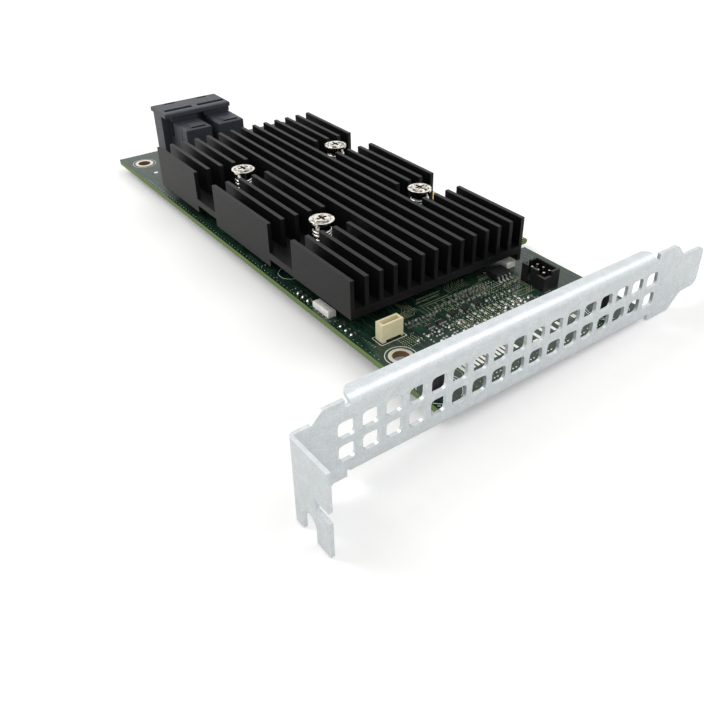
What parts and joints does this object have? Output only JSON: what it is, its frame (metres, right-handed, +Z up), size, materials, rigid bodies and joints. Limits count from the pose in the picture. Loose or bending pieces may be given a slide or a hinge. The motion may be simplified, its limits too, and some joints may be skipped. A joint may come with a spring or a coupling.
{
  "type": "raid controller card",
  "caption": "Short add-in circuit card with a finned black heatsink on spring screws, a vented full height slot bracket, an edge tongue and cable connectors.",
  "frame": {"origin": "centre of the board's near mounting hole, on the component face", "axes": "+X along the bracket from its screw tab to its tail, +Y from the bracket to the far end of the board, +Z up from the component face"},
  "size_m": [0.12, 0.1791, 0.0239],
  "materials": {
    "black_plastic": "black moulded plastic",
    "gilt": "gold plated contacts",
    "zinc": "zinc plated sheet steel",
    "connector_grey": "slate moulded plastic",
    "capacitor_tan": "ceramic",
    "resistor_black": "ceramic",
    "circuit_board": "solder masked laminate",
    "chip_black": "moulded epoxy",
    "cream_plastic": "cream moulded plastic",
    "tin": "tinned leads",
    "black_anodised": "satin black anodised",
    "plating": "tinned copper ring",
    "bright_screw": "bright nickel plated steel",
    "spring_steel": "plated spring steel",
    "pad_grey": "soft thermal pad",
    "white_plastic": "white moulded plastic"
  },
  "bodies": {
    "root": {"box_header": "black_plastic", "box_header_pins": "gilt", "bracket": "zinc", "cable_connector": "connector_grey", "cable_connector_contacts": "gilt", "chip_capacitors": "capacitor_tan", "chip_resistors": "resistor_black", "circuit_board": "circuit_board", "controller_chip": "chip_black", "cream_header": "cream_plastic", "cream_header_pins": "tin", "edge_contacts": "gilt", "eight_lead_chip": "chip_black", "eight_lead_chip_leads": "tin", "heatsink": "black_anodised", "mounting_hole_plating": "plating", "mounting_posts": "black_plastic", "post_screws": "resistor_black", "resistor_networks": "resistor_black", "screw_nuts": "bright_screw", "screw_springs": "spring_steel", "small_inductors": "chip_black", "spring_screws": "bright_screw", "thermal_pad": "pad_grey", "white_edge_connector": "white_plastic", "white_right_part": "white_plastic"}
  },
  "joints": []
}
